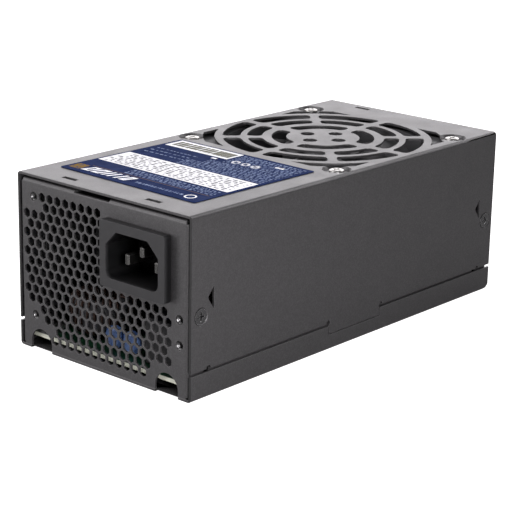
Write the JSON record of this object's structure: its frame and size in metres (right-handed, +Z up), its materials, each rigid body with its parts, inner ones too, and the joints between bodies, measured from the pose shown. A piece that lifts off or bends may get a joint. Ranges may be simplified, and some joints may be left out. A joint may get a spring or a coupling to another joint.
{
  "type": "computer power supply unit",
  "caption": "Slim black steel computer power supply with a honeycomb inlet panel, mains inlet, round fan grille and output sockets.",
  "frame": {"origin": "centre of the underside of the chassis", "axes": "+X across the unit to the right of the inlet panel as seen from outside, +Y from the inlet panel to the output panel, +Z up through the fan grille"},
  "size_m": [0.085, 0.1785, 0.0653],
  "materials": {
    "powder_coat": "fine textured black powder coat",
    "label_film": "satin printed film",
    "dark_screw": "black zinc",
    "bright_screw": "bright nickel",
    "inlet_plastic": "moulded black",
    "nickel_contact": "bright nickel",
    "fan_plastic": "moulded black",
    "shaft_steel": "ground",
    "bearing_bronze": "sintered",
    "ferrite": "matte sintered",
    "copper_winding": "enamelled",
    "brass_post": "machined",
    "board_laminate": "green solder mask",
    "insulation_film": "cream fibre sheet",
    "heatsink_aluminium": "extruded",
    "capacitor_sleeve": "shrink sleeve",
    "blue_epoxy": "dipped",
    "yellow_tape": "polyester tape",
    "capacitor_box": "moulded yellow",
    "semiconductor_epoxy": "moulded black",
    "fuse_glass": "clear",
    "socket_plastic": "moulded black",
    "blue_wire": "satin",
    "brown_wire": "satin",
    "green_wire": "satin",
    "black_wire": "satin"
  },
  "bodies": {
    "case": {"base_chassis": "powder_coat", "board_screw_1": "bright_screw", "board_screw_2": "bright_screw", "board_screw_3": "bright_screw", "board_screw_4": "bright_screw", "board_standoff_1": "brass_post", "board_standoff_2": "brass_post", "board_standoff_3": "brass_post", "board_standoff_4": "brass_post", "bridge_rectifier": "semiconductor_epoxy", "bulk_capacitor": "capacitor_sleeve", "control_board": "board_laminate", "correction_choke": "copper_winding", "drive_power_socket": "socket_plastic", "earth_lead": "green_wire", "fan_bearing": "bearing_bronze", "fan_frame": "fan_plastic", "fan_lead": "black_wire", "fan_screw_1": "bright_screw", "fan_screw_2": "bright_screw", "fan_screw_3": "bright_screw", "fan_screw_4": "bright_screw", "fan_stator": "copper_winding", "fuse": "fuse_glass", "graphics_power_socket": "socket_plastic", "inlet_housing": "inlet_plastic", "inlet_pin_earth": "nickel_contact", "inlet_pin_live": "nickel_contact", "inlet_pin_neutral": "nickel_contact", "insulation_sheet": "insulation_film", "line_capacitor": "capacitor_box", "line_filter_choke": "copper_winding", "live_lead": "brown_wire", "main_circuit_board": "board_laminate", "main_power_socket": "socket_plastic", "neutral_lead": "blue_wire", "output_capacitor_1": "capacitor_sleeve", "output_capacitor_2": "capacitor_sleeve", "output_capacitor_3": "capacitor_sleeve", "output_choke": "copper_winding", "primary_heatsink": "heatsink_aluminium", "processor_power_socket": "socket_plastic", "rating_label": "label_film", "safety_capacitor_1": "blue_epoxy", "safety_capacitor_2": "blue_epoxy", "secondary_heatsink": "heatsink_aluminium", "side_screw_1": "dark_screw", "side_screw_2": "dark_screw", "side_screw_3": "dark_screw", "side_screw_4": "dark_screw", "socket_board": "board_laminate", "standby_transformer": "yellow_tape", "top_cover": "powder_coat", "transformer_core": "ferrite", "transformer_winding": "yellow_tape"},
    "rotor": {"fan_rotor": "fan_plastic", "fan_shaft": "shaft_steel", "fan_magnet_ring": "ferrite"}
  },
  "joints": [
    {"name": "fan_spin", "type": "hinge", "parent": "case", "child": "rotor", "pos_m": [0, 0.031, 0.0555], "axis": [0, 0, 1], "continuous": true}
  ]
}
